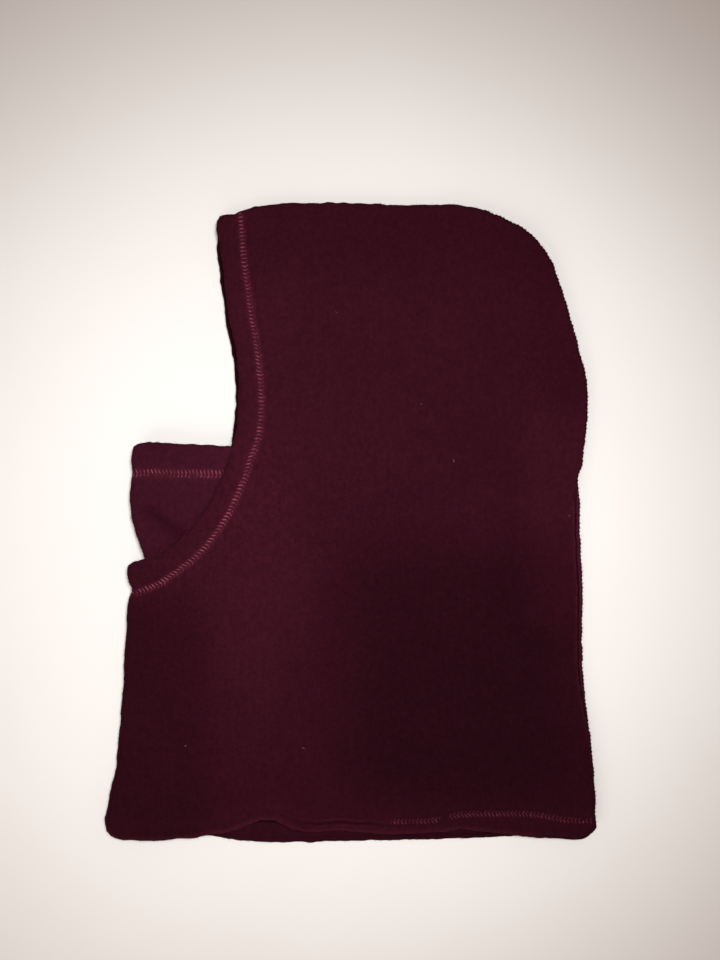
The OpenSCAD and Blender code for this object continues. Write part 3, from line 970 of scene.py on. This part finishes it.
def braid(line, face, seed, lift, width=STITCH_W, strands=2, sides=6, under=False, sunk=constant(0.0),
          lean=constant(1.0), painted_shade=constant(0.0), weak=0.1):
    """Looper thread of a cover stitch. Each stitch has a long slanted arm of a few strands on its left, a
    short one on its right, and thin strands that cross back under them. They rise by lift from the needle
    holes at their ends. under lays them on a face that looks down, sunk gives how far the pile swallows
    them, lean how they slant, painted_shade how much painted shade darkens the whole stitch and weak how
    much lower and darker the short arms lie. The crossing strands and the ends of each arm, where it dips
    into the pile, are darker too, with painted shade."""
    rng = np.random.default_rng(seed)
    spots, along, side = frame_along(line, PITCH)
    count = len(spots)
    u = np.linspace(0, 1, 9)
    arch = np.sin(math.pi * u)
    swollen = np.sin(math.pi * u**1.6)
    bend = np.sin(2 * math.pi * u)
    depth, slanted, shaded = sunk(spots), lean(spots), painted_shade(spots)
    paths, radii, tones = [], [], []

    def drift(size):
        knots = np.arange(0, count + 7, 7)
        return size * np.interp(np.arange(count), knots, rng.normal(0, 1, len(knots)))

    middle = 0.1 * width + drift(0.05) * width
    for sign, long_arm in ((-1, True), (1, False)):
        high = lift * (1 if long_arm else 1 - 2.8 * weak)
        high = high * (1 + drift(0.2) + rng.normal(0, 0.14, count)) - depth
        slant = (0.95 if long_arm else 0.7) * slanted + drift(0.24) + rng.normal(0, 0.16, count)
        outer = sign * width / 2 * (1 + rng.normal(0, 0.04, count))
        for k in range(strands + 2):
            crossing = k >= strands
            spread = (k - strands - 0.5) * 1.1 if crossing else (k - (strands - 1) / 2) * 0.36
            tilt = -0.6 * slanted + 0.35 * rng.normal(0, 1, count) if crossing else slant
            inner = -0.12 * outer if crossing else middle - 0.1 * outer
            across = outer[:, None] * (1 - u)[None] + inner[:, None] * u[None]
            run = tilt[:, None] * PITCH * (u - 0.5 + 0.07 * bend)[None] * 1.15
            run = run + spread * (0.3 + 0.7 * arch)[None] + rng.normal(0, 0.05, (count, 1)) * arch
            plan = spots[:, None] + side[:, None] * across[..., None] + along[:, None] * run[..., None]
            rise = (high - 0.16 * crossing)[:, None] * (swollen**0.6)[None] - 0.34
            paths.append(on_face(face, plan, -rise if under else rise))
            thick = 0.16 if crossing else THREAD * (1 if long_arm else 0.85)
            # painted shade: crossing strands and short arms are darker, and so is each arm towards its ends
            tone = -0.18 if crossing else (0.08 if long_arm else 0.08 - weak)
            tone = tone + shaded + rng.normal(0, 0.03, count)
            tones.append(tone[:, None] - 0.12 * (1 - swollen)[None])
            radii.append(np.broadcast_to(thick * (0.45 + 0.55 * swollen**0.5), (count, 9)))
    points, faces = tubes(np.concatenate(paths), np.concatenate(radii), sides)
    return points, faces, np.repeat(np.concatenate(tones), sides)


def dashes(line, face, offsets, seed, radius=0.2, reach=0.42, rise=0.22, under=False):
    """Straight needle stitches in rows beside a centreline."""
    rng = np.random.default_rng(seed)
    spots, along, side = frame_along(line, PITCH)
    count = len(spots)
    u = np.linspace(-1, 1, 5)
    paths = []
    for offset in offsets:
        jitter = rng.normal(0, 0.05, (count, 1))
        plan = (spots[:, None] + side[:, None] * (offset + jitter)[..., None]
                + along[:, None] * (u * PITCH * reach)[None, :, None])
        bow = rise * (1 - u**2)[None] - 0.12
        paths.append(on_face(face, plan, -bow if under else bow))
    return tubes(np.concatenate(paths), radius, THIN_SIDES)


def overlock(line, depth, low, high, seed):
    """Loops of overlock thread round a raw edge, from depth inside it on one face to depth on the other."""
    rng = np.random.default_rng(seed)
    step = 2.2
    spots, along, side = frame_along(line, step)
    shape = np.array([(depth, 1, 0.5), (depth * 0.5, 1, 0.15), (-0.15, 1, 0), (-0.35, 0.5, 0), (-0.15, 0, 0),
                      (depth * 0.5, 0, -0.3), (depth, 0, -0.5)])
    z = np.stack([low(spots) - 0.1, high(spots) + 0.1], 1)
    across = shape[None, :, 0] * (1 + rng.normal(0, 0.05, (len(spots), 1)))
    plan = (spots[:, None] + side[:, None] * across[..., None]
            + along[:, None] * (shape[:, 2] * step)[None, :, None])
    level = z[:, :1] * (1 - shape[None, :, 1]) + z[:, 1:] * shape[None, :, 1]
    return tubes(np.concatenate([plan, level[..., None]], 2), 0.17, THIN_SIDES)


def threads(name, parts, kind, node):
    """One piece of thread that stands for a node, from its stretches."""
    points, faces, tones = joined(parts)
    return make(name, points, faces, *kind, [node], tones)


OUTER = STITCH_W / 2 - 0.2      # the outer needle lines, from the middle
NEEDLES = (-OUTER, 0, OUTER)
LOOPS_Z = 0.3                   # height of the looper threads on the table side
face_line = part(face_stitch, 1.8, 1.0)
right_face_line = part(face_stitch, 9, 9)
right_neck_line = part(neck_stitch, 9, 9)
inner_mask_line = part(mask_stitch, 9, 1)


def face_lean(spots):
    """The face stitch's arms slant one way below the eyes and the other way above them."""
    y = spots[:, 1]
    return 1 - 1.9 * smooth((y - 30) / 60) + 1.0 * smooth((y - 138) / 14)


# painted shade on the face's cover thread: darker all along, more above the eyes
def face_painted_shade(spots):
    return -0.045 - 0.035 * smooth((spots[:, 1] - 15) / 40)


def neck_sunk(spots):
    """The neck stitch shows towards the back only, with a short gap in it."""
    return 0.9 * smooth((25 - spots[:, 0]) / 8) + 0.4 * hump(spots[:, 0], 53, 2.5)


face_cover = threads("face_hem_cover_stitch", [
    braid(face_line, left_surface, 21, width=5.6, lift=0.42, lean=face_lean, painted_shade=face_painted_shade),
    braid(right_face_line, constant(LOOPS_Z), 22, strands=1, sides=4, lift=0.2, under=True)],
    HOOD_COVER, "face_hem_cover_thread")
face_needle = threads("face_hem_needle_stitch", [
    dashes(face_line, left_surface, (-2.3, 2.3), 23, reach=0.3, rise=0.06),
    dashes(part(face_stitch, 8, 8), under_left, (-2.2, 0, 2.2), 24, under=True, radius=0.1, rise=0.06),
    dashes(right_face_line, constant(HEM_HIGH), NEEDLES, 25)],
    HOOD_NEEDLE, "face_hem_needle_threads")
neck_cover = threads("neck_hem_cover_stitch", [
    # painted shade darkens this cover thread all along, as it lies deep in the pile
    braid(part(neck_stitch, 1.6, 1.6), left_surface, 26, width=5.2, lift=0.36, sunk=neck_sunk,
          painted_shade=constant(-0.19), weak=0.05),
    braid(right_neck_line, constant(LOOPS_Z), 27, strands=1, sides=4, lift=0.2, width=4.3, under=True)],
    HOOD_COVER, "neck_hem_cover_thread")
neck_needle = threads("neck_hem_needle_stitch", [
    dashes(part(neck_stitch, 8, 8), under_left, (-2, 0, 2), 28, under=True),
    dashes(right_neck_line, constant(3.95), (-2, 0, 2), 29, rise=0.16)],
    HOOD_NEEDLE, "neck_hem_needle_threads")
mask_cover = threads("mask_hem_cover_stitch", [
    # painted shade darkens this cover thread a little
    braid(part(mask_stitch, 0.8, 0), mask_surface, 41, width=7.2, lift=0.36, painted_shade=constant(-0.08),
          weak=0.03),
    braid(inner_mask_line, constant(MASK_Z + LOOPS_Z), 42, strands=1, sides=4, lift=0.2, under=True)],
    MASK_COVER, "mask_hem_cover_thread")
mask_needle = threads("mask_hem_needle_stitch", [
    dashes(inner_mask_line, under_mask, NEEDLES, 43, under=True, radius=0.1, rise=0.1),
    dashes(inner_mask_line, constant(MASK_Z + 4.1), NEEDLES, 44, radius=0.1, rise=0.1)],
    MASK_NEEDLE, "mask_hem_needle_threads")
seam_overlock = threads("back_seam_overlock", [
    overlock(beside(seam_line, 9.3)[::-1], 2.6, seam_plies[0], seam_plies[3], seed=51)],
    HOOD_COVER, "back_seam_overlock_thread")
mask_overlock = threads("mask_edge_overlock", [
    overlock(part(mask_back, 16, 6), 3.2, constant(MASK_Z + 0.15), mask_top, seed=52)],
    MASK_COVER, "mask_edge_overlock_thread")
left_pile = make("left_edge_pile", *left.fuzz(6, 61, 1.15), "hood", "hood_fleece", PILE)
right_pile = make("right_edge_pile", *right.fuzz(4, 62, 1.15), "hood", "hood_fleece", PILE)
mask_pile = make("mask_edge_pile", *left_mask.fuzz(6, 63, 1.1), "face_mask", "mask_fleece", PILE)


def lint(spots, seed):
    """Short pale fibres caught on the pile."""
    rng = np.random.default_rng(seed)
    spots = np.array(spots, float)
    u = np.linspace(-1, 1, 7)
    turn = rng.uniform(0, math.pi, (len(spots), 1))
    reach = rng.uniform(0.5, 0.9, (len(spots), 1))
    bow = rng.uniform(-0.5, 0.5, (len(spots), 1))
    along, across = reach * u, bow * (1 - u**2)
    plan = spots[:, None] + np.stack([along * np.cos(turn) - across * np.sin(turn),
                                      along * np.sin(turn) + across * np.cos(turn)], 2)
    return tubes(on_face(left_surface, plan, 0.12), 0.09, THIN_SIDES)


LINT_SPOTS = [(-26.5, -127.7), (58, 34.2), (124, 2.9), (-93, -126.5), (-8, 118), (40, 66)]
lint_piece = make("lint", *lint(LINT_SPOTS, 64), "hood", "hood_fleece", LINT)


def tack(name, node):
    """A bar of thread wound back and forth between two layers."""
    low, high = (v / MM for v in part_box(node))
    middle = (low + high) / 2
    reach = (high.x - low.x) / 2 - 0.35
    turns = 8
    s = np.linspace(0, 1, turns * 16 + 1)
    x = middle.x + reach * 0.85 * (2 * s - 1)
    y = middle.y + reach * 0.45 * np.sin(2 * math.pi * turns * s)
    z = middle.z + ((high.z - low.z) / 2 - 0.2) * np.cos(2 * math.pi * turns * s)
    wound = tubes(np.column_stack([x, y, z])[None], 0.19)
    bar = np.column_stack([x, middle.y + 0.25 * np.sin(23 * s), middle.z + 0.12 * np.cos(17 * s)])
    threads(name, [wound, tubes(bar[None], 0.3)], HOOD_NEEDLE, node)


for side in ("left", "right"):
    tack(f"mask_tack_{side}_side", f"mask_tack_{side}")


# ---- floor, camera, lights
def stage():
    bpy.ops.mesh.primitive_plane_add(size=6)
    floor = bpy.context.object
    floor.name = "floor"
    material, tree, shader = nodes_of("floor")
    tone = scaled_noise(tree, 3, 4)
    tree.links.new(ramp(tree, tone, [(0.3, (0.69, 0.668, 0.641)), (0.7, (0.72, 0.702, 0.675))]),
                   shader.inputs["Base Color"])
    tune(shader, Roughness=0.6)
    floor.data.materials.append(material)


def light(name, kind, place, aim, power, colour):
    """A lamp at a place that points at another."""
    lamp = bpy.data.lights.new(name, kind)
    lamp.energy = power
    lamp.color = colour
    holder = placed(name, lamp)
    holder.location = place
    holder.rotation_euler = (Vector(aim) - Vector(place)).to_track_quat("-Z", "Y").to_euler()
    return lamp


def camera():
    """Straight above, where the photograph was taken."""
    scale = 0.57 * MM            # metres a pixel at the height of the outline
    picture_height = 960         # pixels
    outline_z = 5.5 * MM
    distance = 0.70
    centre = (5.4 * MM, 23.4 * MM)
    data = bpy.data.cameras.new("camera")
    data.sensor_fit = "VERTICAL"
    data.sensor_height = 24
    data.lens = data.sensor_height * distance / (picture_height * scale)
    data.clip_start = 0.01
    holder = placed("camera", data)
    holder.location = (*centre, distance + outline_z)
    bpy.context.scene.camera = holder


stage()
camera()
fill_light = light("fill", "AREA", (-0.55, -0.95, 0.95), (-0.02, -0.08, 0), 5.5, (1, 0.95, 0.92))
fill_light.size = 1.0
key = light("key", "SPOT", (0.15, 0.17, 1.2), (-0.03, -0.01, 0), 75, (0.96, 0.985, 1))
key.spot_size = math.radians(39.5)
key.spot_blend = 1
key.shadow_soft_size = 0.16
world = bpy.data.worlds.new("world")
world.use_nodes = True
tune(world.node_tree.nodes["Background"], Color=(1, 0.73, 0.62, 1), Strength=0.28)
bpy.context.scene.world = world
bpy.context.scene.view_settings.view_transform = "Standard"
